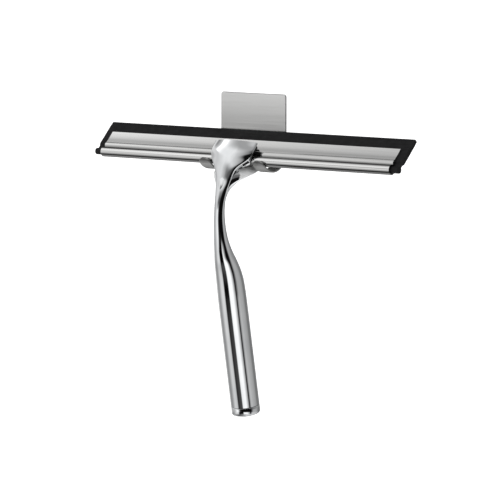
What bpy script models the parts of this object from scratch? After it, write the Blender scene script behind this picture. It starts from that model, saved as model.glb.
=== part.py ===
"""Window cleaning squeegee with its wall hook.

The wall hook is the fixed piece. The squeegee hangs in its two fingers by the round bead along
the bottom of the blade channel, with the channel leaning back to the wall and the handle hanging
down. X runs along the blade, Y points to the wall and Z is up. The origin is the middle of the
adhesive pad's back face. The squeegee's own shapes are drawn about the middle of the bead.
"""

import math

import bmesh
import bpy
from mathutils import Matrix, Vector

MM = 0.001

# Driving dimensions, in metres
BLADE_LENGTH = 0.250
BLADE_OVERHANG = 0.0058       # rubber past each end of the channel
BLADE_OFFSET = 0.0072         # blade's middle to the right of the handle's middle
BLADE_LEAN = math.radians(44.0)
SHEET = 0.0007                # channel sheet thickness
BEAD_RADIUS = 0.0033          # outside of the channel's bead
CHANNEL_REACH = 0.0150        # bead centre to the channel's top edge
CHANNEL_HALF = 0.0026         # half the channel's thickness at its mouth
BLADE_REACH = 0.0242          # bead centre to the rubber's tip
GAP = 0.0003

TUBE_RADIUS = 0.0092
TUBE_TILT = math.radians(10.4)
TUBE_END_Y = 0.0095           # tube's lower end, from the bead
TUBE_END_Z = -0.1575
TUBE_WALL = 0.0015
BORE_DEPTH = 0.068
CAP_HEIGHT = 0.0056
CAP_CHAMFER = 0.0011
SPIGOT_LENGTH = 0.008

PLATE_WIDTH = 0.0537
PLATE_TOP = 0.0417            # plate's top edge, above the bead
PLATE_FRONT = 0.0180          # plate's front face, behind the bead
PLATE_SHEET = 0.0012
PLATE_CORNER = 0.0018
FINGER_WIDTH = 0.0093
BEND_RADIUS = 0.0134          # outside of the fingers' bend
BEND_CENTRE_Z = 0.0056        # middle of the bend, above the bead
FINGER_TIP = 0.0004           # fingers' tips, above the bead
PAD_THICKNESS = 0.0010
PAD_SIZE = (0.0500, 0.0340)
PAD_CORNER = 0.0020
PAD_CENTRE_Z = 0.02385        # pad's middle, above the bead

SCREW_RADIUS = 0.0020
SCREW_LENGTH = 0.0052
SOCKET_WIDTH = 0.0020

# Derived places
CHANNEL_LENGTH = BLADE_LENGTH - 2 * BLADE_OVERHANG
BORE_RADIUS = TUBE_RADIUS - TUBE_WALL
WALL = PLATE_FRONT + PLATE_SHEET + PAD_THICKNESS
BEND_CENTRE_Y = PLATE_FRONT + PLATE_SHEET - BEND_RADIUS
BEAD = Vector((0.0, -WALL, -PAD_CENTRE_Z))
BLADE_UP = Vector((0.0, math.sin(BLADE_LEAN), math.cos(BLADE_LEAN)))
BLADE_FRONT = Vector((0.0, -math.cos(BLADE_LEAN), math.sin(BLADE_LEAN)))
TUBE_AXIS = Vector((0.0, -math.sin(TUBE_TILT), math.cos(TUBE_TILT)))
TUBE_END = Vector((0.0, TUBE_END_Y, TUBE_END_Z))

# The handle and its front jaw from the tube's end upwards, in millimetres from the bead: height,
# depth, half width, half thickness, plan curve per mm, core depth, squareness, edge drop, tilt
FRONT_LIMB = (
    (-157.50, 9.50, 9.20, 9.20, 0.0, 0.0, 2.0, 0.0, 10.4),
    (-126.00, 3.72, 9.20, 9.20, 0.0, 0.0, 2.0, 0.0, 10.4),
    (-95.00, -1.97, 9.20, 9.20, 0.0, 0.0, 2.0, 0.0, 10.4),
    (-85.00, -3.80, 9.15, 9.10, 0.0, 0.0, 2.0, 0.0, 9.5),
    (-76.40, -5.45, 8.85, 8.80, 0.0, 0.0, 2.0, 0.0, 8.0),
    (-69.90, -7.30, 8.30, 8.20, 0.0, 0.0, 2.0, 0.0, 6.0),
    (-63.30, -9.80, 7.20, 7.20, 0.0, 0.0, 2.0, 0.0, 4.0),
    (-56.80, -12.30, 5.80, 5.60, 0.0, 0.0, 2.0, 0.0, 2.0),
    (-50.30, -14.20, 4.75, 4.20, 0.0, 0.0, 2.0, 0.0, 0.0),
    (-43.90, -15.30, 4.15, 3.45, 0.0, 0.0, 2.0, 0.0, 0.0),
    (-37.50, -15.90, 3.75, 3.05, 0.0, 0.0, 2.0, 0.0, 0.0),
    (-31.10, -15.95, 3.60, 2.75, 0.0, 0.0, 2.0, 0.0, 0.0),
    (-25.00, -15.20, 3.80, 2.50, 0.0, 0.0, 2.0, 0.0, 0.0),
    (-18.00, -13.60, 4.70, 2.20, 0.002, 0.0, 2.2, 0.0, 0.0),
    (-11.20, -11.90, 6.30, 1.80, 0.006, 0.5, 2.5, 0.0, 0.0),
    (-6.00, -11.00, 8.00, 1.40, 0.011, 3.5, 3.0, 0.0, 0.0),
    (-3.00, -10.60, 10.40, 1.15, 0.016, 5.0, 4.0, 0.0, 0.0),
    (-0.20, -10.20, 14.40, 1.00, 0.020, 5.4, 5.0, 0.0, 0.0),
    (1.60, -9.95, 16.50, 0.95, 0.020, 5.2, 5.5, 0.0, 0.0),
    (3.20, -9.60, 16.90, 0.95, 0.019, 4.4, 6.0, 0.0, 0.0),
    (5.20, -8.70, 16.90, 0.95, 0.017, 3.0, 6.0, 0.2, 0.0),
    (8.00, -6.90, 17.10, 0.95, 0.016, 1.2, 6.0, 0.6, 0.0),
    (12.40, -3.20, 17.15, 0.90, 0.0150, 0.0, 6.0, 1.3, 0.0),
)

# The rear jaw, out of the neck and round under the bead: depth, height, half width, thickness,
# core height towards the bead
REAR_LIMB = (
    (-15.10, -30.00, 2.30, 1.6, 0.0),
    (-14.40, -25.00, 3.10, 2.2, 0.0),
    (-13.20, -20.60, 4.20, 2.6, 0.0),
    (-11.60, -16.80, 5.90, 2.6, 0.2),
    (-9.20, -13.20, 9.20, 2.3, 0.8),
    (-6.00, -10.20, 13.40, 2.0, 2.2),
    (-2.20, -8.20, 16.20, 1.8, 3.4),
    (1.50, -6.80, 16.80, 1.6, 3.2),
    (4.60, -4.90, 16.70, 1.5, 2.4),
)
CORE_HALF_WIDTH = 5.0 * MM
RING_POINTS = 48

FINISHES = {
    "chrome": ((0.80, 0.81, 0.82, 1), 0.06, 1.0),
    "brushed_steel": ((0.62, 0.62, 0.61, 1), 0.34, 1.0),
    "bright_steel": ((0.70, 0.70, 0.70, 1), 0.14, 1.0),
    "zinc_steel": ((0.45, 0.45, 0.46, 1), 0.38, 1.0),
    "black_rubber": ((0.018, 0.018, 0.019, 1), 0.55, 0.0),
    "seal_rubber": ((0.03, 0.03, 0.03, 1), 0.60, 0.0),
    "foam_tape": ((0.72, 0.73, 0.70, 1), 0.80, 0.0),
}


def clear_scene():
    for old in list(bpy.data.objects):
        bpy.data.objects.remove(old, do_unlink=True)


def collection(name):
    made = bpy.data.collections.new(name)
    bpy.context.scene.collection.children.link(made)
    return made


def finish(name):
    """One Principled material for each finish."""
    made = bpy.data.materials.get(name)
    if made is None:
        colour, roughness, metallic = FINISHES[name]
        made = bpy.data.materials.new(name)
        made.use_nodes = True
        shader = made.node_tree.nodes["Principled BSDF"]
        shader.inputs["Base Color"].default_value = colour
        shader.inputs["Roughness"].default_value = roughness
        shader.inputs["Metallic"].default_value = metallic
    return made


def add_object(name, data, group, material=None, location=(0, 0, 0)):
    made = bpy.data.objects.new(name, data)
    group.objects.link(made)
    made.location = location
    if material:
        data.materials.append(finish(material))
    return made


def mesh_from(bm, name, angle=math.radians(35)):
    """Close off a bmesh with its normals out and its round parts shaded smooth."""
    bmesh.ops.recalc_face_normals(bm, faces=bm.faces)
    data = bpy.data.meshes.new(name)
    bm.to_mesh(data)
    bm.free()
    data.shade_smooth()
    data.set_sharp_from_angle(angle=angle)
    return data


def cutter(name, data, location=(0, 0, 0)):
    made = add_object(name, data, cutters, location=location)
    made.hide_render = True
    made.display_type = "WIRE"
    return made


def boolean(target, tool, operation):
    step = target.modifiers.new(tool.name, "BOOLEAN")
    step.operation = operation
    step.solver = "EXACT"
    step.object = tool


def rod(name, radius, start, end, sides=40):
    """A straight round bar between two points, as mesh data."""
    start, end = Vector(start), Vector(end)
    bm = bmesh.new()
    bmesh.ops.create_cone(bm, cap_ends=True, segments=sides, radius1=radius, radius2=radius,
                          depth=(end - start).length)
    turn = (end - start).to_track_quat("Z", "Y").to_matrix().to_4x4()
    bmesh.ops.transform(bm, verts=bm.verts, matrix=Matrix.Translation((start + end) / 2) @ turn)
    return mesh_from(bm, name)


def between(rows, spans):
    """Points on a smooth curve through the rows, with each span cut into equal steps."""
    out = []
    last = len(rows) - 1
    for i in range(last):
        p0, p1 = rows[max(i - 1, 0)], rows[i]
        p2, p3 = rows[i + 1], rows[min(i + 2, last)]
        for step in range(spans):
            t = step / spans
            out.append([
                0.5 * (2 * b + (c - a) * t + (2 * a - 5 * b + 4 * c - d) * t * t
                       + (3 * b - a - 3 * c + d) * t ** 3)
                for a, b, c, d in zip(p0, p1, p2, p3)])
    out.append(list(rows[last]))
    return out


def rounded(angle, power):
    """A point on a unit superellipse: power 2 is round and a higher one is squarer."""
    c, s = math.cos(angle), math.sin(angle)
    return (math.copysign(abs(c) ** (2 / power), c), math.copysign(abs(s) ** (2 / power), s))


def core_share(x):
    """How much of a jaw's core stands at a distance from its middle."""
    return math.exp(-(x / CORE_HALF_WIDTH) ** 4)


def skin(bm, rings):
    """Quads between neighbouring rings, and quads across the two end rings."""
    count = len(rings[0])
    for lower, upper in zip(rings, rings[1:]):
        for i in range(count):
            j = (i + 1) % count
            bm.faces.new((lower[i], lower[j], upper[j], upper[i]))
    for ring in (rings[0], rings[-1]):
        for i in range(count // 2):
            corners = (ring[i], ring[i + 1], ring[count - i - 1], ring[(count - i) % count])
            bm.faces.new(tuple(dict.fromkeys(corners)))


def front_limb():
    """Tube, neck and front jaw as one loft, from a round tube to a thin curved jaw."""
    bm = bmesh.new()
    rings = []
    for z, y, half, thick, curve, core, power, drop, tilt in between(FRONT_LIMB, 3):
        tilt = math.radians(tilt)
        ring = []
        for i in range(RING_POINTS):
            a, b = rounded(2 * math.pi * i / RING_POINTS, power)
            x = half * a
            back = thick * b + (core * core_share(x * MM) if b > 0.5 else 0.0)
            ring.append(bm.verts.new((
                x * MM,
                (y + curve * x * x + back * math.cos(tilt)) * MM,
                (z - drop * a * a + back * math.sin(tilt)) * MM)))
        rings.append(ring)
    skin(bm, rings)
    return mesh_from(bm, "handle_body")


def rear_limb():
    """Rear jaw as a loft along its own curve, each section square to that curve."""
    bm = bmesh.new()
    path = between(REAR_LIMB, 3)
    rings = []
    for i, (y, z, half, thick, core) in enumerate(path):
        before, after = path[max(i - 1, 0)], path[min(i + 1, len(path) - 1)]
        along = Vector((0, after[0] - before[0], after[1] - before[1])).normalized()
        inward = Vector((0, -along.z, along.y))
        ring = []
        for k in range(RING_POINTS):
            a, b = rounded(2 * math.pi * k / RING_POINTS, 3.0)
            x = half * a
            lift = thick / 2 * b + (core * core_share(x * MM) if b > 0.5 else 0.0)
            ring.append(bm.verts.new((Vector((x, y, z)) + inward * lift) * MM))
        rings.append(ring)
    skin(bm, rings)
    return mesh_from(bm, "rear_limb")


def channel_space():
    """Box that keeps the jaws clear of the channel's flat part."""
    reach, half = 0.030, CHANNEL_HALF + GAP
    bm = bmesh.new()
    bmesh.ops.create_cube(bm, size=1)
    bmesh.ops.scale(bm, vec=(0.08, 2 * half, reach), verts=bm.verts)
    turn = Matrix.Rotation(-BLADE_LEAN, 4, "X")
    shift = Matrix.Translation(BLADE_UP * reach / 2)
    bmesh.ops.transform(bm, verts=bm.verts, matrix=shift @ turn)
    return mesh_from(bm, "channel_space")


def screw_direction():
    """From the bead's centre down to the middle of the rear jaw."""
    return Vector((0.0, -2.2, -8.2)).normalized()


def make_handle():
    handle = add_object("handle_body", front_limb(), parts, "chrome", BEAD)
    rear = cutter("rear_limb", rear_limb(), BEAD)
    boolean(handle, rear, "UNION")
    half = 0.04
    seat = rod("bead_seat", BEAD_RADIUS + GAP, (-half, 0, 0), (half, 0, 0), 48)
    boolean(handle, cutter("bead_seat", seat, BEAD), "DIFFERENCE")
    boolean(handle, cutter("channel_space", channel_space(), BEAD), "DIFFERENCE")
    down = screw_direction()
    hole = rod("screw_hole", SCREW_RADIUS + GAP, down * BEAD_RADIUS, down * 0.014, 24)
    boolean(handle, cutter("screw_hole", hole, BEAD), "DIFFERENCE")
    bore = rod("tube_bore", BORE_RADIUS, TUBE_END - TUBE_AXIS * 0.002,
               TUBE_END + TUBE_AXIS * BORE_DEPTH)
    boolean(handle, cutter("tube_bore", bore, BEAD), "DIFFERENCE")
    return handle


def make_clamp_screw():
    """Socket set screw that bears on the bead from below."""
    down = screw_direction()
    start = down * (BEAD_RADIUS + GAP)
    screw = add_object("clamp_screw", rod("clamp_screw", SCREW_RADIUS, start,
                                          start + down * SCREW_LENGTH, 24),
                       parts, "zinc_steel", BEAD)
    end = start + down * SCREW_LENGTH
    socket = rod("hex_socket", SOCKET_WIDTH / math.sqrt(3), end - down * 0.002, end + down * 0.002, 6)
    boolean(screw, cutter("hex_socket", socket, BEAD), "DIFFERENCE")
    return screw


def channel_line():
    """Middle of the folded sheet: up-the-blade and front distances, from front lip to rear lip."""
    radius = BEAD_RADIUS - SHEET / 2
    mouth = CHANNEL_HALF - SHEET / 2
    waist = 0.00125
    step = 0.0063
    bow = 0.00018
    turns = 20
    front = []
    for i in range(7):
        share = i / 6
        front.append((CHANNEL_REACH + (step - CHANNEL_REACH) * share,
                      mouth - bow * math.sin(math.pi * share)))
    opening = math.asin(waist / radius)
    arc = [(radius * math.cos(opening + (2 * math.pi - 2 * opening) * i / turns),
            radius * math.sin(opening + (2 * math.pi - 2 * opening) * i / turns))
           for i in range(turns + 1)]
    return front + arc + [(up, -out) for up, out in reversed(front)]


def thicken(line, thickness):
    """Closed outline of a sheet that follows an open line."""
    sides = [[], []]
    for i, point in enumerate(line):
        before, after = line[max(i - 1, 0)], line[min(i + 1, len(line) - 1)]
        here = Vector(point)
        into = (here - Vector(before)).normalized() if i else Vector((0, 0))
        out_of = (Vector(after) - here).normalized() if i < len(line) - 1 else Vector((0, 0))
        along = (into + out_of).normalized()
        across = Vector((-along.y, along.x))
        reach = max(along.dot(into if i else out_of), 0.5)
        for side, sign in zip(sides, (1, -1)):
            side.append(here + across * sign * thickness / 2 / reach)
    return sides[0] + list(reversed(sides[1]))


def blade_curve(name, outline, length, material):
    """A 2D outline, drawn up and across the blade, drawn out along X."""
    data = bpy.data.curves.new(name, "CURVE")
    data.dimensions = "2D"
    data.fill_mode = "BOTH"
    data.extrude = length / 2
    spline = data.splines.new("POLY")
    spline.points.add(len(outline) - 1)
    for point, (up, out) in zip(spline.points, outline):
        point.co = (up, out, 0, 1)
    spline.use_cyclic_u = True
    place = BEAD + Vector((BLADE_OFFSET, 0, 0))
    made = add_object(name, data, parts, material, place)
    axes = Matrix((BLADE_UP, BLADE_FRONT, Vector((1, 0, 0)))).transposed()
    made.rotation_euler = axes.to_euler()
    return made


def make_channel():
    outline = thicken(channel_line(), SHEET)
    return blade_curve("blade_channel", outline, CHANNEL_LENGTH, "bright_steel")


def make_rubber():
    """Rubber strip: round bead, thin neck in the channel's waist, and a web to the tip."""
    radius, neck, web, tip = 0.00215, 0.00050, 0.00150, 0.00130
    start = math.asin(neck / radius)
    turns = 18
    outline = [(radius * math.cos(start + (2 * math.pi - 2 * start) * i / turns),
                radius * math.sin(start + (2 * math.pi - 2 * start) * i / turns))
               for i in range(turns + 1)]
    half = [(0.0036, neck), (0.0056, web), (BLADE_REACH - 0.004, web), (BLADE_REACH, tip)]
    outline += [(up, -out) for up, out in half]
    outline += list(reversed(half))
    return blade_curve("rubber_blade", outline, BLADE_LENGTH, "black_rubber")


def turned(name, profile, material, place, tilt):
    """A turned piece from its outer profile, given from top to bottom."""
    bm = bmesh.new()
    verts = [bm.verts.new((radius, 0, height)) for radius, height in profile]
    for upper, lower in zip(verts, verts[1:]):
        bm.edges.new((upper, lower))
    data = bpy.data.meshes.new(name)
    bm.to_mesh(data)
    bm.free()
    made = add_object(name, data, parts, material, place)
    made.rotation_euler = (tilt, 0, 0)
    screw = made.modifiers.new("turn", "SCREW")
    screw.axis = "Z"
    screw.steps = 48
    screw.render_steps = 48
    screw.use_merge_vertices = True
    screw.merge_threshold = 0.00001
    screw.use_smooth_shade = True
    return made


def make_end_cap():
    groove_top, groove_bottom = 0.0062, 0.0042
    spigot = BORE_RADIUS - GAP
    groove = spigot - 0.0013
    outer = TUBE_RADIUS
    bottom = -GAP - CAP_HEIGHT
    profile = (
        (0.0, SPIGOT_LENGTH),
        (spigot - 0.0006, SPIGOT_LENGTH),
        (spigot, SPIGOT_LENGTH - 0.0006),
        (spigot, groove_top),
        (groove, groove_top),
        (groove, groove_bottom),
        (spigot, groove_bottom),
        (spigot, -GAP),
        (outer - 0.0002, -GAP),
        (outer, -GAP - 0.0002),
        (outer, bottom + CAP_CHAMFER),
        (outer - CAP_CHAMFER, bottom),
        (0.0, bottom),
    )
    return turned("end_cap", profile, "chrome", BEAD + TUBE_END, TUBE_TILT)


def make_cap_seal():
    """Rubber ring in the cap's groove."""
    section = 0.00065
    ring = BORE_RADIUS - section - 0.0002
    height = 0.0052
    bpy.ops.mesh.primitive_torus_add(major_radius=ring, minor_radius=section, major_segments=48,
                                     minor_segments=10, rotation=(TUBE_TILT, 0, 0),
                                     location=BEAD + TUBE_END + TUBE_AXIS * height)
    seal = bpy.context.object
    seal.name = "cap_seal"
    seal.data.materials.append(finish("seal_rubber"))
    seal.data.shade_smooth()
    for group in list(seal.users_collection):
        group.objects.unlink(seal)
    parts.objects.link(seal)
    return seal


def corner_half(full, radius, distance):
    """Half width of a strip with round corners, at a distance in from its end."""
    if distance >= radius:
        return full
    return full - radius + math.sqrt(max(radius ** 2 - (radius - distance) ** 2, 0.0))


def hook_path():
    """Rows down the plate and round a finger: depth, height and distance from the nearer end."""
    middle = PLATE_FRONT + PLATE_SHEET / 2
    radius = BEND_RADIUS - PLATE_SHEET / 2
    sweep = math.pi - math.asin((FINGER_TIP - BEND_CENTRE_Z) / -radius)
    steps = 30
    plate = []
    for share in (0.02, 0.15, 0.35, 0.6, 1.0, 2.5):
        plate.append((middle, PLATE_TOP - PLATE_CORNER * share, PLATE_CORNER * share))
    bend = []
    for i in range(steps + 1):
        turn = sweep * i / steps
        bend.append((BEND_CENTRE_Y + radius * math.cos(turn), BEND_CENTRE_Z - radius * math.sin(turn),
                     radius * (sweep - turn)))
    return plate, bend


def make_hook_plate():
    """Stamped sheet: a plate whose lower edge is bent forward into two round-ended fingers."""
    bm = bmesh.new()
    plate, bend = hook_path()
    half, inner = PLATE_WIDTH / 2, PLATE_WIDTH / 2 - FINGER_WIDTH
    columns = 8

    def row(y, z, start, end):
        return [bm.verts.new((start + (end - start) * i / columns, y, z)) for i in range(columns + 1)]

    def join(upper, lower):
        for i in range(len(upper) - 1):
            bm.faces.new((upper[i], lower[i], lower[i + 1], upper[i + 1]))

    above = None
    for y, z, distance in plate:
        edge = corner_half(half, PLATE_CORNER, distance)
        share = edge / half
        here = row(y, z, -edge, -inner * share) + row(y, z, inner * share, edge)
        if above:
            join(above, here)
        above = here
    y, z, _ = bend[0]
    first = row(y, z, -half, -inner) + row(y, z, inner, half)
    join(above, first)
    split = columns + 1
    for side, above in ((-1, first[:split]), (1, first[split:])):
        centre = side * (half + inner) / 2
        for y, z, distance in bend[1:]:
            reach = max(corner_half(FINGER_WIDTH / 2, FINGER_WIDTH / 2, distance), 0.0004)
            here = row(y, z, centre - reach, centre + reach)
            join(above, here)
            above = here
    hook = add_object("hook_plate", mesh_from(bm, "hook_plate"), parts, "brushed_steel", BEAD)
    wall = hook.modifiers.new("sheet", "SOLIDIFY")
    wall.thickness = PLATE_SHEET
    wall.offset = 0
    return hook


def make_adhesive_pad():
    width, height = PAD_SIZE
    depth = PAD_THICKNESS - GAP
    bm = bmesh.new()
    bmesh.ops.create_cube(bm, size=1)
    bmesh.ops.scale(bm, vec=(width, depth, height), verts=bm.verts)
    upright = [edge for edge in bm.edges
               if abs(edge.verts[0].co.y - edge.verts[1].co.y) > depth / 2]
    bmesh.ops.bevel(bm, geom=upright, offset=PAD_CORNER, segments=5, affect="EDGES", profile=0.5,
                    material=-1)
    return add_object("adhesive_pad", mesh_from(bm, "adhesive_pad"), parts, "foam_tape",
                      (0, -depth / 2, 0))


def hang(children, name, location):
    """Parent a group's pieces to an empty on its slide axis, without moving them."""
    holder = bpy.data.objects.new(name, None)
    parts.objects.link(holder)
    holder.location = location
    bpy.context.view_layer.update()
    for child in children:
        child.parent = holder
        child.matrix_parent_inverse = holder.matrix_world.inverted()
    return holder


clear_scene()
parts = collection("window_squeegee")
cutters = collection("cutters")

make_hook_plate()
make_adhesive_pad()
channel = make_channel()
rubber = make_rubber()
hang([channel, rubber], "blade_axis", BEAD + Vector((BLADE_OFFSET, 0, 0)))
hang([make_handle(), make_clamp_screw(), make_end_cap(), make_cap_seal()], "lift_axis", BEAD)
bpy.context.view_layer.update()
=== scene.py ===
import math

import bmesh
import bpy
import numpy as np
from mathutils import Matrix, Vector


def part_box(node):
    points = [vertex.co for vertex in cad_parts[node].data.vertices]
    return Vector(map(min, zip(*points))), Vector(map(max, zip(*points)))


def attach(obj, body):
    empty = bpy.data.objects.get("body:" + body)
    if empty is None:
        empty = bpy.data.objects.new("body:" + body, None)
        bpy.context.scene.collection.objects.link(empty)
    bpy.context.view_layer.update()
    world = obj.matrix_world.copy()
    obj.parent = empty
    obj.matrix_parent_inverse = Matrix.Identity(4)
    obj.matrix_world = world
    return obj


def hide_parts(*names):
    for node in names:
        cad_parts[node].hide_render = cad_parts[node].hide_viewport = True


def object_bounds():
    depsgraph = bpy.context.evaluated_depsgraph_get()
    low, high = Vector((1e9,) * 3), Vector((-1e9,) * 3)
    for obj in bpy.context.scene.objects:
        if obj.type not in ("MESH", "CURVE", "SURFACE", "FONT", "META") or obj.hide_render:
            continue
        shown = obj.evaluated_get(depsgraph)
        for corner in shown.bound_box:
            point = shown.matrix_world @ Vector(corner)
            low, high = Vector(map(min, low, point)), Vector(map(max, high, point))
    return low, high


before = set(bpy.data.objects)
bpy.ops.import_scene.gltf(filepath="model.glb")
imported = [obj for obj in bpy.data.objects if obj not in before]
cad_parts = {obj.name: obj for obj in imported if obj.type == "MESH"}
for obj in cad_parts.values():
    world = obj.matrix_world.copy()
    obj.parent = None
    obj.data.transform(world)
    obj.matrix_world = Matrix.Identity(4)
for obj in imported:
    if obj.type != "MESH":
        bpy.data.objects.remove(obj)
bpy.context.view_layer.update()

mm = 0.001
scene = bpy.context.scene
scene.view_settings.view_transform = "Standard"


# shared helpers

def hexColour(text, alpha=1.0):
    # sRGB hex to the linear values that shaders use
    parts = [int(text[i:i + 2], 16) / 255 for i in (1, 3, 5)]
    line = [p / 12.92 if p <= 0.04045 else ((p + 0.055) / 1.055) ** 2.4 for p in parts]
    return (*line, alpha)


def addNode(tree, kind, settings=None, links=None):
    # settings: node properties, or inputs with their values; links: input to output socket
    node = tree.nodes.new(kind)
    for key, value in (settings or {}).items():
        if isinstance(key, str) and hasattr(node, key):
            setattr(node, key, value)
        else:
            node.inputs[key].default_value = value
    for key, source in (links or {}).items():
        tree.links.new(source, node.inputs[key])
    return node


def setRamp(node, stops):
    ramp = node.color_ramp
    while len(ramp.elements) > 1:
        ramp.elements.remove(ramp.elements[-1])
    for i, (place, colour) in enumerate(stops):
        stop = ramp.elements[0] if i == 0 else ramp.elements.new(place)
        stop.position = place
        stop.color = colour


def grey(level):
    return (level, level, level, 1.0)


def newMaterial(name, colour, roughness, metallic):
    made = bpy.data.materials.new(name)
    made.use_nodes = True
    tree = made.node_tree
    shader = tree.nodes["Principled BSDF"]
    shader.inputs["Base Color"].default_value = hexColour(colour)
    shader.inputs["Roughness"].default_value = roughness
    shader.inputs["Metallic"].default_value = metallic
    return made, tree, shader


def toObject(bm, name, material, body, replaced, smooth=30):
    # a finished piece: shaded smooth below the given angle, riding its body in the CAD node's place
    mesh = bpy.data.meshes.new(name)
    bm.to_mesh(mesh)
    bm.free()
    mesh.shade_smooth()
    mesh.set_sharp_from_angle(angle=math.radians(smooth))
    made = bpy.data.objects.new(name, mesh)
    scene.collection.objects.link(made)
    made.data.materials.append(material)
    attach(made, body)
    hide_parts(*replaced)
    return made


# places read from the frame

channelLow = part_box("blade_channel")[0]
beadRadius = 3.3 * mm
beadCentre = Vector((0.0, channelLow.y + beadRadius, channelLow.z + beadRadius))
lean = math.radians(44)                      # blade leans back from upright
bladeUp = Vector((0, math.sin(lean), math.cos(lean)))
bladeFront = Vector((0, -math.cos(lean), math.sin(lean)))
bladeAxes = Matrix((bladeUp, bladeFront, Vector((1, 0, 0)))).transposed().to_4x4()


# camera

shot = {
    "azimuth": 40.0,        # degrees round from the front, towards +X
    "elevation": 5.46,
    "distance": 2.980,      # metres to the middle of the bead
    "lens": 337.896,        # millimetres, on a 36 mm sensor
    "sensor": 36,
    "aside": -9.1756,       # bead from the picture's middle, millimetres to the right
    "above": 57.2442,       # and upwards
}


def makeCamera():
    a, e = math.radians(shot["azimuth"]), math.radians(shot["elevation"])
    back = Vector((math.sin(a) * math.cos(e), -math.cos(a) * math.cos(e), math.sin(e)))
    right = Vector((math.cos(a), math.sin(a), 0))
    up = back.cross(right)
    data = bpy.data.cameras.new("shotCamera")
    data.sensor_width = shot["sensor"]
    data.lens = shot["lens"]
    data.clip_start, data.clip_end = 0.05, 200
    camera = bpy.data.objects.new("shotCamera", data)
    scene.collection.objects.link(camera)
    camera.location = (beadCentre + back * shot["distance"] - right * shot["aside"] * mm
                       - up * shot["above"] * mm)
    camera.rotation_mode = "QUATERNION"
    camera.rotation_quaternion = (-back).to_track_quat("-Z", "Y")
    scene.camera = camera


makeCamera()
print("camera set")


# studio

studio = {
    "floorDrop": 0.42,      # metres from the handle's end to the floor
    "floorSize": 90.0,
    "floorGlow": 1.0,       # lifts the floor to the same white as the backdrop
    # brightness round the room at five heights; azimuth in degrees from the camera's own
    # direction, negative to its left
    "ground": ((-180, 0.30), (-156, 0.62), (-148, 0.66), (-130, 1.00), (-116, 0.42), (-100, 0.06),
               (-70, 0.02), (-30, 0.25), (20, 0.75), (120, 0.70), (180, 0.30)),
    "low": ((-180, 0.30), (-130, 0.28), (-110, 0.36), (-98, 0.56), (-85, 0.78), (-64, 0.80),
            (-58, 0.30), (-55, 0.0), (-23, 0.0), (-19, 0.15), (-15, 1.18), (12, 1.18),
            (19, 0.90), (27, 0.60), (33, 0.30), (37, 0.02), (42, 0.02), (47, 0.30),
            (55, 0.64), (90, 0.58), (112, 0.46), (135, 0.20), (165, 0.20), (180, 0.30)),
    "level": ((-180, 0.45), (-161, 0.60), (-147, 0.80), (-131, 0.42), (-117, 0.46), (-100, 0.50),
              (-91, 0.60), (-78, 0.92), (-64, 1.15), (-56, 0.60), (-49, 0.10), (-42, 0.03),
              (-32, 0.004), (22, 0.003), (44, 0.003), (52, 0.14), (60, 0.44), (84, 0.44),
              (101, 0.36), (116, 0.20), (135, 0.20), (150, 0.30), (180, 0.45)),
    "eye": ((-180, 0.38), (-147, 0.80), (-111, 0.65), (-98, 0.75), (-86, 0.80), (-80, 0.50),
            (-75, 0.22), (-67, 0.12), (-56, 0.10), (-48, 0.05), (-42, 0.005), (24, 0.003),
            (40, 0.02), (60, 0.20), (100, 0.30), (150, 0.25), (180, 0.38)),
    "high": ((-180, 0.02), (-165, 0.03), (-152, 0.08), (-145, 0.12), (-136, 0.40), (-127, 0.66),
             (-123, 1.45), (-115, 1.7), (-108, 1.15), (-100, 0.95), (-75, 0.95), (-50, 0.58),
             (-35, 0.34), (-20, 0.15), (0, 0.10), (40, 0.20), (90, 0.42), (140, 0.20),
             (180, 0.02)),
    "overhead": ((-180, 0.38), (180, 0.38)),
    "zenith": ((-180, 0.80), (180, 0.80)),
    # elevations, in degrees, between which each height takes over from the one below
    "fades": {"low": (-36, -20), "level": (-17, -8), "eye": (4, 13), "high": (18, 25),
              "overhead": (36, 56), "zenith": (62, 75)},
    # place, disc size and power of each lamp
    "lights": {"keyLight": ((-1.2, -1.6, 2.2), 1.4, 30),
               "fillLight": ((1.8, -1.2, 0.8), 1.2, 12)},
}


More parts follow.
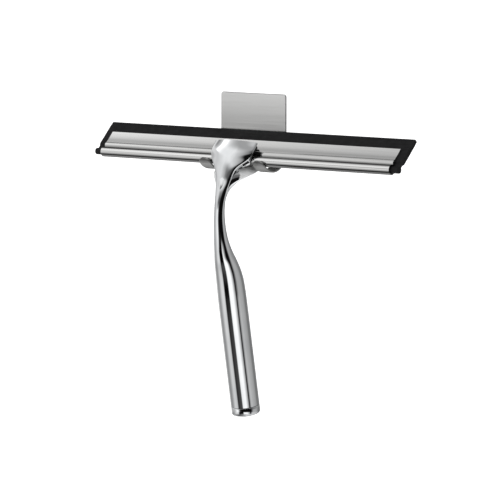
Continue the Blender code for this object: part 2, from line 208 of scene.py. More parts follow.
def makeWorld():
    world = bpy.data.worlds.new("softStudio")
    scene.world = world
    world.use_nodes = True
    tree = world.node_tree
    tree.nodes.clear()
    place = addNode(tree, "ShaderNodeTexCoord")
    parts = addNode(tree, "ShaderNodeSeparateXYZ", links={0: place.outputs["Generated"]})
    front = addNode(tree, "ShaderNodeMath", {"operation": "MULTIPLY", 1: -1.0},
                    {0: parts.outputs["Y"]})
    turn = addNode(tree, "ShaderNodeMath", {"operation": "ARCTAN2"},
                   {0: parts.outputs["X"], 1: front.outputs[0]})
    fromShot = addNode(tree, "ShaderNodeMath", {"operation": "SUBTRACT",
                                                1: math.radians(shot["azimuth"])},
                       {0: turn.outputs[0]})
    wrapped = addNode(tree, "ShaderNodeMath", {"operation": "WRAP", 1: math.pi, 2: -math.pi},
                      {0: fromShot.outputs[0]})
    share = addNode(tree, "ShaderNodeMapRange", {1: -math.pi, 2: math.pi, 3: 0.0, 4: 1.0},
                    {0: wrapped.outputs[0]})
    rise = addNode(tree, "ShaderNodeMath", {"operation": "ARCSINE"}, {0: parts.outputs["Z"]})
    degrees = addNode(tree, "ShaderNodeMath", {"operation": "MULTIPLY", 1: 180 / math.pi},
                      {0: rise.outputs[0]})

    def around(name):
        ramp = addNode(tree, "ShaderNodeValToRGB", links={0: share.outputs[0]})
        setRamp(ramp, [((a + 180) / 360, grey(v)) for a, v in studio[name]])
        return ramp.outputs["Color"]

    layer = around("ground")
    for name, (start, end) in studio["fades"].items():
        fade = addNode(tree, "ShaderNodeMapRange", {"interpolation_type": "SMOOTHSTEP", 1: start,
                                                    2: end, 3: 0.0, 4: 1.0},
                       {0: degrees.outputs[0]})
        layer = addNode(tree, "ShaderNodeMix", {"data_type": "RGBA"},
                        {0: fade.outputs[0], 6: layer, 7: around(name)}).outputs[2]
    # only the metal sees this room; the camera sees plain white
    seen = addNode(tree, "ShaderNodeLightPath")
    behind = addNode(tree, "ShaderNodeMix", {"data_type": "RGBA"},
                     {0: seen.outputs["Is Camera Ray"], 6: layer})
    behind.inputs[7].default_value = grey(1.0)
    back = addNode(tree, "ShaderNodeBackground", {"Strength": 1.0}, {"Color": behind.outputs[2]})
    addNode(tree, "ShaderNodeOutputWorld", links={"Surface": back.outputs[0]})


def makeFloor():
    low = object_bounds()[0]
    bm = bmesh.new()
    bmesh.ops.create_grid(bm, x_segments=1, y_segments=1, size=studio["floorSize"] / 2)
    bmesh.ops.translate(bm, vec=(0, 0, low.z - studio["floorDrop"]), verts=bm.verts)
    mesh = bpy.data.meshes.new("studioFloor")
    bm.to_mesh(mesh)
    bm.free()
    floor = bpy.data.objects.new("studioFloor", mesh)
    scene.collection.objects.link(floor)
    paint, _, shader = newMaterial("paleFloorPaint", "#F4F4F4", 0.9, 0.0)
    shader.inputs["Emission Color"].default_value = grey(1.0)
    shader.inputs["Emission Strength"].default_value = studio["floorGlow"]
    mesh.materials.append(paint)
    floor.visible_glossy = False            # the metal reflects the studio's own dark ground


def addSoftLight(name, place, size, power):
    data = bpy.data.lights.new(name, "AREA")
    data.shape = "DISK"
    data.size = size
    data.energy = power
    light = bpy.data.objects.new(name, data)
    scene.collection.objects.link(light)
    light.location = place
    light.rotation_mode = "QUATERNION"
    light.rotation_quaternion = (Vector(place) - beadCentre).to_track_quat("Z", "Y")
    light.visible_glossy = False


makeWorld()
makeFloor()
for name, (place, size, power) in studio["lights"].items():
    addSoftLight(name, place, size, power)
print("studio set")


# materials

def chromePlating():
    # polished chrome on cast zinc: a hard mirror with faint wiping marks and hardly any waves
    made, tree, shader = newMaterial("polishedChromePlating", "#EDEEEF", 0.05, 1.0)
    place = addNode(tree, "ShaderNodeTexCoord")
    smear = addNode(tree, "ShaderNodeTexNoise", {"Scale": 60.0, "Detail": 4.0, "Roughness": 0.6},
                    {"Vector": place.outputs["Object"]})
    dull = addNode(tree, "ShaderNodeMapRange", {1: 0.35, 2: 0.75, 3: 0.008, 4: 0.035},
                   {0: smear.outputs["Fac"]})
    tree.links.new(dull.outputs[0], shader.inputs["Roughness"])
    tint = addNode(tree, "ShaderNodeValToRGB", links={0: smear.outputs["Fac"]})
    setRamp(tint, [(0.3, hexColour("#F2F3F4")), (0.75, hexColour("#E6E8EA"))])
    tree.links.new(tint.outputs["Color"], shader.inputs["Base Color"])
    return made


def rolledStainless():
    # bright annealed stainless strip: mirror-like with fine rolling lines along its length
    made, tree, shader = newMaterial("rolledStainlessSheet", "#E4E4E3", 0.10, 1.0)
    place = addNode(tree, "ShaderNodeTexCoord")
    along = addNode(tree, "ShaderNodeMapping", {"Scale": (6.0, 900.0, 900.0)},
                    {"Vector": place.outputs["Object"]})
    lines = addNode(tree, "ShaderNodeTexNoise", {"Scale": 1.0, "Detail": 3.0},
                    {"Vector": along.outputs["Vector"]})
    dull = addNode(tree, "ShaderNodeMapRange", {1: 0.3, 2: 0.7, 3: 0.07, 4: 0.15},
                   {0: lines.outputs["Fac"]})
    tree.links.new(dull.outputs[0], shader.inputs["Roughness"])
    tint = addNode(tree, "ShaderNodeValToRGB", links={0: lines.outputs["Fac"]})
    setRamp(tint, [(0.3, hexColour("#E6E6E5")), (0.7, hexColour("#F6F6F5"))])
    # painted shade and reflection by height, not dirt: it stands in for the dark surroundings that
    # the fold above the bead and the bead's underside reflect
    split = addNode(tree, "ShaderNodeSeparateXYZ", links={0: place.outputs["Object"]})
    height = addNode(tree, "ShaderNodeMapRange",
                     {1: beadCentre.z - 3 * mm, 2: beadCentre.z + 6 * mm},
                     {0: split.outputs["Z"]})
    paintedFoldShade = addNode(tree, "ShaderNodeValToRGB", links={0: height.outputs[0]})
    setRamp(paintedFoldShade, [(0.10, hexColour("#949494")), (0.24, hexColour("#A8A8A8")),
                    (0.36, hexColour("#F2F2F2")), (0.56, hexColour("#FFFFFF")),
                    (0.61, hexColour("#B0B0B0")), (0.655, hexColour("#6E6E6E")),
                    (0.70, hexColour("#9A9A9A")), (0.78, hexColour("#D2D2D2")),
                    (0.88, hexColour("#F8F8F8"))])
    both = addNode(tree, "ShaderNodeMix", {"data_type": "RGBA", "blend_type": "MULTIPLY", 0: 1.0},
                   {6: tint.outputs["Color"], 7: paintedFoldShade.outputs["Color"]})
    tree.links.new(both.outputs[2], shader.inputs["Base Color"])
    return made


def brushedStainless():
    # stainless plate brushed from side to side: soft grey sheen with fine scratches along X
    made, tree, shader = newMaterial("brushedStainlessPlate", "#C9C9C8", 0.36, 1.0)
    place = addNode(tree, "ShaderNodeTexCoord")
    along = addNode(tree, "ShaderNodeMapping", {"Scale": (14.0, 1500.0, 1500.0)},
                    {"Vector": place.outputs["Object"]})
    grain = addNode(tree, "ShaderNodeTexNoise", {"Scale": 1.0, "Detail": 4.0, "Roughness": 0.7},
                    {"Vector": along.outputs["Vector"]})
    dull = addNode(tree, "ShaderNodeMapRange", {1: 0.3, 2: 0.7, 3: 0.28, 4: 0.44},
                   {0: grain.outputs["Fac"]})
    tree.links.new(dull.outputs[0], shader.inputs["Roughness"])
    # painted shade by height, not wear, with the brushing grain mixed in: darker near the blade, it
    # stands in for the darker surroundings that the plate reflects there
    split = addNode(tree, "ShaderNodeSeparateXYZ", links={0: place.outputs["Object"]})
    height = addNode(tree, "ShaderNodeMapRange",
                     {1: beadCentre.z + 6 * mm, 2: beadCentre.z + 48 * mm},
                     {0: split.outputs["Z"]})
    grainAndPaintedShade = addNode(tree, "ShaderNodeMath", {"operation": "MULTIPLY_ADD", 1: 0.12},
                     {0: grain.outputs["Fac"], 2: height.outputs[0]})
    tint = addNode(tree, "ShaderNodeValToRGB", links={0: grainAndPaintedShade.outputs[0]})
    setRamp(tint, [(0.06, hexColour("#AEAEAD")), (0.5, hexColour("#C6C6C5")),
                   (1.0, hexColour("#F2F2F1"))])
    tree.links.new(tint.outputs["Color"], shader.inputs["Base Color"])
    bump = addNode(tree, "ShaderNodeBump", {"Strength": 0.12, "Distance": 0.00005},
                   {"Height": grain.outputs["Fac"]})
    tree.links.new(bump.outputs["Normal"], shader.inputs["Normal"])
    return made


def extrudedRubber():
    # black extruded rubber: satin, with faint drawing lines along the strip and a dusty bloom
    made, tree, shader = newMaterial("extrudedBlackRubber", "#121213", 0.5, 0.0)
    shader.inputs["Specular IOR Level"].default_value = 0.16
    place = addNode(tree, "ShaderNodeTexCoord")
    along = addNode(tree, "ShaderNodeMapping", {"Scale": (25.0, 1200.0, 1200.0)},
                    {"Vector": place.outputs["Object"]})
    lines = addNode(tree, "ShaderNodeTexNoise", {"Scale": 1.0, "Detail": 3.0},
                    {"Vector": along.outputs["Vector"]})
    bloom = addNode(tree, "ShaderNodeTexNoise", {"Scale": 240.0, "Detail": 5.0},
                    {"Vector": place.outputs["Object"]})
    tint = addNode(tree, "ShaderNodeValToRGB", links={0: bloom.outputs["Fac"]})
    setRamp(tint, [(0.35, hexColour("#0E0E0F")), (0.75, hexColour("#1A1A1B"))])
    tree.links.new(tint.outputs["Color"], shader.inputs["Base Color"])
    dull = addNode(tree, "ShaderNodeMapRange", {1: 0.3, 2: 0.7, 3: 0.42, 4: 0.6},
                   {0: lines.outputs["Fac"]})
    tree.links.new(dull.outputs[0], shader.inputs["Roughness"])
    bump = addNode(tree, "ShaderNodeBump", {"Strength": 0.25, "Distance": 0.00008},
                   {"Height": lines.outputs["Fac"]})
    tree.links.new(bump.outputs["Normal"], shader.inputs["Normal"])
    return made


def sealRubber():
    # moulded nitrile ring: matt and dark with a fine mould texture
    made, tree, shader = newMaterial("mouldedSealRubber", "#202021", 0.6, 0.0)
    place = addNode(tree, "ShaderNodeTexCoord")
    fine = addNode(tree, "ShaderNodeTexNoise", {"Scale": 900.0, "Detail": 3.0},
                   {"Vector": place.outputs["Object"]})
    tint = addNode(tree, "ShaderNodeValToRGB", links={0: fine.outputs["Fac"]})
    setRamp(tint, [(0.3, hexColour("#1B1B1C")), (0.7, hexColour("#28282A"))])
    tree.links.new(tint.outputs["Color"], shader.inputs["Base Color"])
    return made


def foamTape():
    # closed-cell acrylic foam: pale, dull, with open pores on the cut edge
    made, tree, shader = newMaterial("closedCellFoamTape", "#D9DAD6", 0.85, 0.0)
    place = addNode(tree, "ShaderNodeTexCoord")
    pores = addNode(tree, "ShaderNodeTexVoronoi", {"Scale": 1800.0},
                    {"Vector": place.outputs["Object"]})
    tint = addNode(tree, "ShaderNodeValToRGB", links={0: pores.outputs["Distance"]})
    setRamp(tint, [(0.1, hexColour("#BFC0BB")), (0.5, hexColour("#E2E3DF"))])
    tree.links.new(tint.outputs["Color"], shader.inputs["Base Color"])
    bump = addNode(tree, "ShaderNodeBump", {"Strength": 0.4, "Distance": 0.0001},
                   {"Height": pores.outputs["Distance"]})
    tree.links.new(bump.outputs["Normal"], shader.inputs["Normal"])
    return made


def plainScrewSteel():
    # machined screw steel: darker and duller than the chrome, with turning marks
    made, tree, shader = newMaterial("machinedScrewSteel", "#8E8F91", 0.35, 1.0)
    place = addNode(tree, "ShaderNodeTexCoord")
    marks = addNode(tree, "ShaderNodeTexNoise", {"Scale": 1500.0, "Detail": 2.0},
                    {"Vector": place.outputs["Object"]})
    dull = addNode(tree, "ShaderNodeMapRange", {1: 0.3, 2: 0.7, 3: 0.28, 4: 0.45},
                   {0: marks.outputs["Fac"]})
    tree.links.new(dull.outputs[0], shader.inputs["Roughness"])
    tint = addNode(tree, "ShaderNodeValToRGB", links={0: marks.outputs["Fac"]})
    setRamp(tint, [(0.3, hexColour("#828385")), (0.7, hexColour("#9A9B9D"))])
    tree.links.new(tint.outputs["Color"], shader.inputs["Base Color"])
    return made


def paintedJawShadeMaterial():
    # painted shade inside the jaws: a dark, dull finish standing in for the shadow there
    made, tree, shader = newMaterial("paintedJawShade", "#161617", 0.5, 0.6)
    place = addNode(tree, "ShaderNodeTexCoord")
    grit = addNode(tree, "ShaderNodeTexNoise", {"Scale": 1400.0, "Detail": 3.0},
                   {"Vector": place.outputs["Object"]})
    tint = addNode(tree, "ShaderNodeValToRGB", links={0: grit.outputs["Fac"]})
    setRamp(tint, [(0.3, hexColour("#0F0F10")), (0.7, hexColour("#1E1E20"))])
    tree.links.new(tint.outputs["Color"], shader.inputs["Base Color"])
    return made


def satinPlating():
    # rear jaw's inner face, taken as plated but not polished: a soft pale grey
    made, tree, shader = newMaterial("unpolishedChromePlating", "#F2F3F3", 0.4, 0.45)
    place = addNode(tree, "ShaderNodeTexCoord")
    grit = addNode(tree, "ShaderNodeTexNoise", {"Scale": 900.0, "Detail": 3.0},
                   {"Vector": place.outputs["Object"]})
    dull = addNode(tree, "ShaderNodeMapRange", {1: 0.3, 2: 0.7, 3: 0.34, 4: 0.46},
                   {0: grit.outputs["Fac"]})
    tree.links.new(dull.outputs[0], shader.inputs["Roughness"])
    tint = addNode(tree, "ShaderNodeValToRGB", links={0: grit.outputs["Fac"]})
    setRamp(tint, [(0.3, hexColour("#EFF0F0")), (0.7, hexColour("#F5F6F6"))])
    tree.links.new(tint.outputs["Color"], shader.inputs["Base Color"])
    return made


chrome = chromePlating()
jawShade = paintedJawShadeMaterial()
satinChrome = satinPlating()
sheetSteel = rolledStainless()
plateSteel = brushedStainless()
rubberBlack = extrudedRubber()
ringRubber = sealRubber()
tapeFoam = foamTape()
screwSteel = plainScrewSteel()
print("materials made")


# smooth lofts

def smoothRows(rows, lead, step, width):
    # rows resampled at even steps of the path through the first `lead` columns, then averaged
    # with their neighbours so that curvature changes gently; ends stay where they are
    rows = np.array(rows, float)
    gaps = np.linalg.norm(np.diff(rows[:, :lead], axis=0), axis=1)
    along = np.concatenate([[0], np.cumsum(gaps)])
    places = np.linspace(0, along[-1], int(along[-1] / step) + 1)
    out = np.stack([np.interp(places, along, column) for column in rows.T], axis=1)
    for _ in range(int(2 * (width / step) ** 2)):
        out[1:-1] = (out[:-2] + 2 * out[1:-1] + out[2:]) / 4
    return out


def rounded(angle, power):
    # a point on a unit superellipse: power 2 is round, a higher one is squarer
    c, s = math.cos(angle), math.sin(angle)
    return (math.copysign(abs(c) ** (2 / power), c), math.copysign(abs(s) ** (2 / power), s))


def skinRings(rings, name):
    # a closed solid through rings of points, one ring after another
    bm = bmesh.new()
    loops = []
    for ring in rings:
        verts = [bm.verts.new(place) for place in ring]
        loops.append([bm.edges.new((verts[i - 1], verts[i])) for i in range(len(verts))])
    for lower, upper in zip(loops, loops[1:]):
        bmesh.ops.bridge_loops(bm, edges=lower + upper)
    bmesh.ops.edgenet_fill(bm, edges=loops[0])
    bmesh.ops.edgenet_fill(bm, edges=loops[-1])
    bmesh.ops.recalc_face_normals(bm, faces=bm.faces)
    return tempObject(bm, name)


def coreRise(b):
    # share of a limb's core on its inner side, from none at the edges to all across the back
    return min(max(b, 0) * 2, 1)


def tempObject(bm, name):
    # a helper solid for cutting and joining, removed afterwards
    mesh = bpy.data.meshes.new(name)
    bm.to_mesh(mesh)
    bm.free()
    made = bpy.data.objects.new(name, mesh)
    scene.collection.objects.link(made)
    return made


def combine(target, tools):
    # each tool is (object, "UNION" or "DIFFERENCE"); returns the finished shape as a bmesh
    for tool, operation in tools:
        cut = target.modifiers.new(tool.name, "BOOLEAN")
        cut.operation, cut.solver, cut.object = operation, "EXACT", tool
    shape = target.evaluated_get(bpy.context.evaluated_depsgraph_get()).to_mesh()
    bm = bmesh.new()
    bm.from_mesh(shape)
    for used in [target] + [tool for tool, _ in tools]:
        bpy.data.objects.remove(used)
    return bm


def softenRims(bm, size):
    # rounds every edge sharper than 60 degrees
    rims = [e for e in bm.edges if len(e.link_faces) == 2
            and e.calc_face_angle() > math.radians(60)]
    bmesh.ops.bevel(bm, geom=rims, offset=size * mm, segments=3, affect="EDGES",
                    profile=0.5, material=-1)


def rodShape(name, radius, start, end, sides):
    bm = bmesh.new()
    bmesh.ops.create_cone(bm, cap_ends=True, segments=sides, radius1=radius, radius2=radius,
                          depth=(end - start).length)
    turn = (end - start).to_track_quat("Z", "Y").to_matrix().to_4x4()
    bmesh.ops.transform(bm, verts=bm.verts, matrix=Matrix.Translation((start + end) / 2) @ turn)
    return tempObject(bm, name)


# handle

handle = {
    # millimetres from the bead: height, depth, half width, half thickness, plan curve, core,
    # squareness, edge drop, tilt in degrees
    "front": (
        (-157.50, 9.50, 9.20, 9.20, 0.0, 0.0, 2.0, 0.0, 10.4),
        (-126.00, 3.72, 9.20, 9.20, 0.0, 0.0, 2.0, 0.0, 10.4),
        (-95.00, -1.97, 9.20, 9.20, 0.0, 0.0, 2.0, 0.0, 10.4),
        (-85.00, -3.80, 9.15, 9.10, 0.0, 0.0, 2.0, 0.0, 9.5),
        (-76.40, -5.45, 8.85, 8.80, 0.0, 0.0, 2.0, 0.0, 8.0),
        (-69.90, -7.30, 8.30, 8.20, 0.0, 0.0, 2.0, 0.0, 6.0),
        (-63.30, -9.80, 7.20, 7.20, 0.0, 0.0, 2.0, 0.0, 4.0),
        (-56.80, -12.30, 5.80, 5.60, 0.0, 0.0, 2.0, 0.0, 2.0),
        (-50.30, -14.20, 4.75, 4.20, 0.0, 0.0, 2.2, 0.0, 0.0),
        (-43.90, -15.30, 4.15, 3.45, 0.0, 0.0, 2.2, 0.0, 0.0),
        (-37.50, -15.90, 3.75, 3.05, 0.0, 0.0, 2.2, 0.0, 0.0),
        (-31.10, -15.95, 3.60, 2.75, 0.0, 0.0, 2.2, 0.0, 0.0),
        (-25.00, -15.20, 3.80, 2.50, 0.0, 0.0, 2.2, 0.0, 0.0),
        (-18.00, -13.60, 4.70, 2.20, 0.002, 0.0, 2.3, 0.0, 0.0),
        (-11.20, -11.70, 6.30, 1.80, 0.006, 0.5, 2.6, 0.0, 0.0),
        (-6.00, -10.75, 8.00, 1.40, 0.010, 1.5, 3.6, 0.0, -5.0),
        (-3.00, -10.20, 10.40, 1.15, 0.0140, 2.2, 4.0, 0.0, -18.0),
        (-0.20, -9.60, 14.40, 1.00, 0.0178, 3.6, 5.0, 0.0, -32.0),
        (1.60, -9.15, 16.50, 0.95, 0.0176, 4.8, 5.5, 0.0, -40.0),
        (3.20, -8.70, 16.90, 0.95, 0.0160, 8.0, 6.0, 0.0, -44.0),
        (5.20, -7.90, 16.90, 0.95, 0.0143, 8.0, 6.0, 0.2, -44.0),
        (8.00, -6.40, 17.10, 0.95, 0.0142, 8.0, 6.0, 0.6, -44.0),
        (12.40, -3.20, 17.15, 0.90, 0.0150, 8.0, 6.0, 1.3, -44.0),
    ),
    # depth, height, half width, thickness, core height
    "rear": (
        (-15.10, -30.00, 2.30, 1.6, 0.5),
        (-14.40, -25.00, 3.10, 2.2, 1.0),
        (-13.20, -20.60, 4.20, 2.6, 1.8),
        (-11.60, -16.80, 5.90, 2.6, 2.6),
        (-9.20, -13.20, 9.20, 2.3, 4.0),
        (-6.00, -10.20, 13.40, 2.0, 5.2),
        (-2.20, -8.20, 16.20, 1.8, 5.0),
        (1.50, -6.80, 16.80, 1.6, 4.0),
        (4.60, -4.90, 16.70, 1.5, 2.4),
    ),
    "coreWidth": 15.4,      # half width over which the front jaw is thick, and how sharply it ends
    "coreEdge": 24,
    "ringPoints": 112,
    "frontPath": (0.9, 1.6),    # spacing of the rings and how far they are smoothed
    "rearPath": (0.7, 1.4),
    "rearSquareness": 3.0,
    "tubeEnd": Vector((0, 9.5, -157.5)), "tilt": math.radians(10.4),
    "bore": 7.7, "boreDepth": 68.0,
    "seat": 3.6, "seatReach": 40.0,             # round seat for the bead, through both jaws
    "roomHalf": 2.9, "roomReach": 30.0,         # slot for the flat of the channel
    "screwHole": 2.3, "screwStart": 3.3, "screwEnd": 14.0,
    "screwAxis": Vector((0, -2.2, -8.2)).normalized(),
    # inner faces, the dark ones taking the painted shade: lowest height, and how far behind the
    # front limb's own line they begin
    "darkBelow": -5.0, "darkBehind": 1.0, "darkHalf": 16.6,
    "paleBelow": -26.0, "paleBehind": 2.5, "paleFacing": -0.15,
}


def frontLimb():
    rings = []
    count = handle["ringPoints"]
    for row in smoothRows(handle["front"], 2, *handle["frontPath"]):
        z, y, half, thick, curve, core, power, drop, tilt = row
        tilt = math.radians(tilt)
        ring = []
        for i in range(count):
            a, b = rounded(2 * math.pi * i / count, power)
            x = half * a
            share = math.exp(-(x / handle["coreWidth"]) ** handle["coreEdge"])
            back = thick * b + core * share * coreRise(b)
            ring.append(beadCentre + Vector((x, y + curve * x * x + back * math.cos(tilt),
                                             z - drop * a * a + back * math.sin(tilt))) * mm)
        rings.append(ring)
    return skinRings(rings, "frontLimb")


def rearLimb():
    path = smoothRows(handle["rear"], 2, *handle["rearPath"])
    rings = []
    count = handle["ringPoints"]
    for i, (y, z, half, thick, core) in enumerate(path):
        before, after = path[max(i - 1, 0)], path[min(i + 1, len(path) - 1)]
        along = Vector((0, after[0] - before[0], after[1] - before[1])).normalized()
        inward = Vector((0, -along.z, along.y))
        ring = []
        for k in range(count):
            a, b = rounded(2 * math.pi * k / count, handle["rearSquareness"])
            lift = thick / 2 * b + core * (1 - a * a) * coreRise(b)
            ring.append(beadCentre + (Vector((half * a, y, z)) + inward * lift) * mm)
        rings.append(ring)
    return skinRings(rings, "rearLimb")


def channelRoom():
    reach, half = handle["roomReach"] * mm, handle["roomHalf"] * mm
    bm = bmesh.new()
    bmesh.ops.create_cube(bm, size=1)
    bmesh.ops.scale(bm, vec=(reach, 2 * half, 2 * handle["seatReach"] * mm), verts=bm.verts)
    bmesh.ops.translate(bm, vec=(reach / 2, 0, 0), verts=bm.verts)
    bmesh.ops.transform(bm, verts=bm.verts, matrix=Matrix.Translation(beadCentre) @ bladeAxes)
    return tempObject(bm, "channelRoom")


def makeHandle():
    across = Vector((handle["seatReach"], 0, 0)) * mm
    seat = rodShape("beadSeat", handle["seat"] * mm, beadCentre - across, beadCentre + across, 96)
    down = handle["screwAxis"] * mm
    hole = rodShape("screwHole", handle["screwHole"] * mm,
                    beadCentre + down * handle["screwStart"],
                    beadCentre + down * handle["screwEnd"], 48)
    axis = Vector((0, -math.sin(handle["tilt"]), math.cos(handle["tilt"]))) * mm
    end = beadCentre + handle["tubeEnd"] * mm
    bore = rodShape("tubeBore", handle["bore"] * mm, end - axis * 2,
                    end + axis * handle["boreDepth"], 96)
    bm = combine(frontLimb(), [(rearLimb(), "UNION"), (seat, "DIFFERENCE"),
                               (channelRoom(), "DIFFERENCE"), (hole, "DIFFERENCE"),
                               (bore, "DIFFERENCE")])
    rows = smoothRows(handle["front"], 2, *handle["frontPath"])
    for face in bm.faces:
        x, y, z = (face.calc_center_median() - beadCentre) / mm
        line, curve = (np.interp(z, rows[:, 0], rows[:, column]) for column in (1, 4))
        behind = y - line - curve * x * x
        dark = (z > handle["darkBelow"] and behind > handle["darkBehind"]
                and abs(x) < handle["darkHalf"])
        pale = (z > handle["paleBelow"] and behind > handle["paleBehind"]
                and face.normal.y < handle["paleFacing"])
        # pale faces take the unpolished plating, dark ones the painted shade, the rest the chrome
        face.material_index = 2 if pale else 1 if dark else 0
    made = toObject(bm, "handleCasting", chrome, "squeegee", ["handle_body"], 40)
    made.data.materials.append(jawShade)
    made.data.materials.append(satinChrome)


makeHandle()
print("handle made")


# end cap, seal and clamp screw

cap = {
    # radius and height from the tube's end, in millimetres, from the spigot's top down
    "profile": ((0.0, 8.0), (6.8, 8.0), (7.2, 7.85), (7.4, 7.4), (7.4, 6.2), (6.1, 6.2), (6.1, 4.2),
                (7.4, 4.2), (7.4, -0.3), (8.8, -0.3), (9.05, -0.37), (9.2, -0.55), (9.2, -4.6),
                (9.12, -4.9), (8.3, -5.72), (8.0, -5.85), (7.5, -5.9), (0.0, -5.9)),
    "steps": 160,
    "sealRadius": 6.85, "sealSection": 0.65, "sealHeight": 5.2,
    "sealPoints": 20, "sealSteps": 96,
}


def spunShape(profile, steps):
    # a profile of radius and height spun about the tube's axis, in place on the tube's end
    bm = bmesh.new()
    verts = [bm.verts.new((r * mm, 0, z * mm)) for r, z in profile]
    edges = [bm.edges.new(pair) for pair in zip(verts, verts[1:])]
    bmesh.ops.spin(bm, geom=verts + edges, cent=(0, 0, 0), axis=(0, 0, 1), dvec=(0, 0, 0),
                   angle=2 * math.pi, steps=steps, use_merge=True)
    bmesh.ops.remove_doubles(bm, verts=bm.verts, dist=0.01 * mm)
    bmesh.ops.recalc_face_normals(bm, faces=bm.faces)
    onTube = (Matrix.Translation(beadCentre + handle["tubeEnd"] * mm)
              @ Matrix.Rotation(handle["tilt"], 4, "X"))
    bmesh.ops.transform(bm, verts=bm.verts, matrix=onTube)
    return bm


def makeEndCap():
    bm = spunShape(cap["profile"], cap["steps"])
    toObject(bm, "endCap", chrome, "squeegee", ["end_cap"], 50)


def makeCapSeal():
    turns = [2 * math.pi * i / cap["sealPoints"] for i in range(cap["sealPoints"] + 1)]
    circle = [(cap["sealRadius"] + cap["sealSection"] * math.cos(a),
               cap["sealHeight"] + cap["sealSection"] * math.sin(a)) for a in turns]
    bm = spunShape(circle, cap["sealSteps"])
    toObject(bm, "capSeal", ringRubber, "squeegee", ["cap_seal"])


screw = {"radius": 2.0, "start": 3.6, "length": 5.2, "socket": 2.0, "depth": 2.0, "edge": 0.25}


def makeClampScrew():
    down = handle["screwAxis"]
    start = beadCentre + down * screw["start"] * mm
    end = start + down * screw["length"] * mm
    rod = rodShape("screwRod", screw["radius"] * mm, start, end, 64)
    bm = bmesh.new()
    bm.from_mesh(rod.data)
    softenRims(bm, screw["edge"])
    bm.to_mesh(rod.data)
    bm.free()
    socket = rodShape("hexSocket", screw["socket"] / math.sqrt(3) * mm,
                      end - down * screw["depth"] * mm, end + down * 2 * mm, 6)
    bm = combine(rod, [(socket, "DIFFERENCE")])
    toObject(bm, "clampScrew", screwSteel, "squeegee", ["clamp_screw"])


makeEndCap()
makeCapSeal()
makeClampScrew()
print("cap, seal and screw made")


# blade channel and rubber

blade = {
    "offset": 7.2,          # the blade is shifted this far along +X in the jaws
    "length": 250.0, "overhang": 5.8,           # rubber's length, and how much shows at each end
    "sheet": 0.7, "beadRadius": 3.3, "reach": 15.0, "half": 2.6, "waist": 1.25,
    "step": 6.2, "bow": 0.15, "drop": 0.22,     # flat part: where it steps, its hollow and its set
    "rubberReach": 24.2, "rubberBead": 2.15, "neck": 0.5, "web": 1.5, "tip": 1.3,
    "tipRound": 0.35,
}


def offsetLine(line, thickness):
    # closed outline of a sheet that follows an open line, both in millimetres
    line = [Vector(p) for p in line]
    left, right = [], []
    for i, here in enumerate(line):
        along = (line[min(i + 1, len(line) - 1)] - line[max(i - 1, 0)]).normalized()
        across = Vector((-along.y, along.x)) * thickness / 2
        left.append(here + across)
        right.append(here - across)
    return left + right[::-1]


def arcAround(radius, gap, turns):
    # a circle about the bead that is open by `gap` on each side of the blade's direction
    angles = [gap + (2 * math.pi - 2 * gap) * i / turns for i in range(turns + 1)]
    return [(radius * math.cos(a), radius * math.sin(a)) for a in angles]


def drawnOut(outline, length):
    # an outline in up-the-blade and front millimetres, drawn out along X
    bm = bmesh.new()
    verts = [bm.verts.new((u * mm, f * mm, -length / 2 * mm)) for u, f in outline]
    face = bm.faces.new(verts)
    side = bmesh.ops.extrude_face_region(bm, geom=[face])
    moved = [v for v in side["geom"] if isinstance(v, bmesh.types.BMVert)]
    bmesh.ops.translate(bm, vec=(0, 0, length * mm), verts=moved)
    shift = Matrix.Translation(beadCentre + Vector((blade["offset"] * mm, 0, 0)))
    bmesh.ops.transform(bm, verts=bm.verts, matrix=shift @ bladeAxes)
    bmesh.ops.recalc_face_normals(bm, faces=bm.faces)
    return bm


def channelLine():
    radius = blade["beadRadius"] - blade["sheet"] / 2
    mouth = blade["half"] - blade["sheet"] / 2
    opening = math.asin(blade["waist"] / radius)
    flat = []
    for i in range(25):
        share = i / 24
        flat.append((blade["reach"] + (blade["step"] - blade["reach"]) * share,
                     mouth - blade["drop"] - blade["bow"] * math.sin(math.pi * share)))
    lower = [(blade["step"] - 0.15, mouth - 0.20), (blade["step"] - 0.45, mouth - 0.05),
             (blade["step"] - 0.7, mouth), (5.0, mouth), (4.5, mouth),
             (4.1, mouth - 0.06), (3.8, mouth - 0.30), (3.5, mouth - 0.70),
             (3.2, mouth - 0.95), (2.95, mouth - 1.0)]
    arc = arcAround(radius, opening, 72)
    return flat + lower + arc + [(u, -f) for u, f in reversed(flat + lower)]


def makeChannel():
    length = blade["length"] - 2 * blade["overhang"]
    bm = drawnOut(offsetLine(channelLine(), blade["sheet"]), length)
    toObject(bm, "bladeChannel", sheetSteel, "blade_holder",
             ["blade_channel"], 28)


def makeRubber():
    radius, neck, web, tip = (blade[k] for k in ("rubberBead", "neck", "web", "tip"))
    reach, soft = blade["rubberReach"], blade["tipRound"]
    outline = arcAround(radius, math.asin(neck / radius), 48)
    half = [(3.4, neck), (4.4, neck + 0.25), (5.6, web), (reach - 4.0, web), (reach - soft, tip),
            (reach - soft * 0.3, tip - soft * 0.3), (reach, tip - soft)]
    outline += [(u, -f) for u, f in half]
    outline += list(reversed(half))
    bm = drawnOut(outline, blade["length"])
    toObject(bm, "rubberBlade", rubberBlack, "rubber", ["rubber_blade"], 28)


makeChannel()
makeRubber()
print("blade made")


# wall hook

hook = {
    # millimetres; heights and depths are from the bead
    "width": 53.7, "top": 41.7, "front": 18.0, "sheet": 1.2, "corner": 1.8, "finger": 9.3,
    "bend": 13.4, "bendMiddle": 5.6,            # outer radius of the fingers' bend, its height
    "tip": 0.4, "tipLength": 4.6, "tipRound": 2.6, "tipLeast": 0.35,
    "bendRows": 90, "rowCrowding": 1.6,         # more rows towards the tips than at the root
    "edge": 0.28, "columns": 14, "cornerRows": 8,
    "pad": (50.0, 0.7, 34.0), "padCorner": 2.0,
}


def cornerHalf(full, radius, distance):
    # half width of a strip with round corners, at a distance in from its end
    if distance >= radius:
        return full
    return full - radius + math.sqrt(max(radius ** 2 - (radius - distance) ** 2, 0))


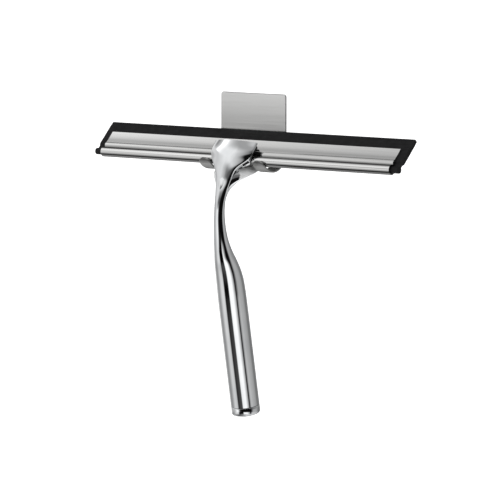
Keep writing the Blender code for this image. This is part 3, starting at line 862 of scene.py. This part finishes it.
def makeHook():
    middle = hook["front"] + hook["sheet"] / 2
    radius = hook["bend"] - hook["sheet"] / 2
    bendY = hook["front"] + hook["sheet"] - hook["bend"]
    sweep = math.pi + math.asin((hook["tip"] - hook["bendMiddle"]) / radius)
    half, finger = hook["width"] / 2, hook["finger"]
    inner = half - finger
    bm = bmesh.new()

    def row(y, z, left, right, columns):
        return [bm.verts.new(beadCentre + Vector((left + (right - left) * i / columns, y, z)) * mm)
                for i in range(columns + 1)]

    def join(upper, lower):
        for i in range(len(upper) - 1):
            bm.faces.new((upper[i], lower[i], lower[i + 1], upper[i + 1]))

    count = hook["columns"]
    above = None
    corner = hook["corner"]
    rows = hook["cornerRows"]
    bends = [corner * (1 - math.cos(math.pi / 2 * i / rows)) for i in range(rows + 1)]
    for distance in bends + [corner * 2, 10.0, 20.0, 30.0]:
        edge = cornerHalf(half, corner, distance) if distance else half - corner
        share = edge / half
        here = row(middle, hook["top"] - distance, -edge, -inner * share, count)
        here += row(middle, hook["top"] - distance, inner * share, edge, count)
        if above:
            join(above, here)
        above = here
    first = row(middle, hook["bendMiddle"], -half, -inner, count)
    first += row(middle, hook["bendMiddle"], inner, half, count)
    join(above, first)
    turns = hook["bendRows"]
    power = hook["tipRound"]
    for side, above in ((-1, first[:count + 1]), (1, first[count + 1:])):
        centre = side * (half + inner) / 2
        for i in range(1, turns + 1):
            turn = sweep * (1 - (1 - i / turns) ** hook["rowCrowding"])
            left = radius * (sweep - turn)
            share = max(1 - left / hook["tipLength"], 0)
            reach = max(finger / 2 * (1 - share ** power) ** (1 / power), hook["tipLeast"])
            here = row(bendY + radius * math.cos(turn),
                       hook["bendMiddle"] - radius * math.sin(turn),
                       centre - reach, centre + reach, count)
            join(above, here)
            above = here
    bmesh.ops.recalc_face_normals(bm, faces=bm.faces)
    bmesh.ops.solidify(bm, geom=bm.faces[:], thickness=hook["sheet"] * mm)
    softenRims(bm, hook["edge"])
    bmesh.ops.recalc_face_normals(bm, faces=bm.faces)
    toObject(bm, "wallHook", plateSteel, "wall_hook", ["hook_plate"], 35)


def makePad():
    width, depth, height = hook["pad"]
    bm = bmesh.new()
    bmesh.ops.create_cube(bm, size=1)
    bmesh.ops.scale(bm, vec=(width * mm, depth * mm, height * mm), verts=bm.verts)
    upright = [e for e in bm.edges if abs(e.verts[0].co.y - e.verts[1].co.y) > depth * mm / 2]
    bmesh.ops.bevel(bm, geom=upright, offset=hook["padCorner"] * mm, segments=8, affect="EDGES",
                    profile=0.5, material=-1)
    bmesh.ops.translate(bm, vec=(0, -depth * mm / 2, 0), verts=bm.verts)
    toObject(bm, "adhesivePad", tapeFoam, "wall_hook", ["adhesive_pad"])


makeHook()
makePad()
print("hook made")
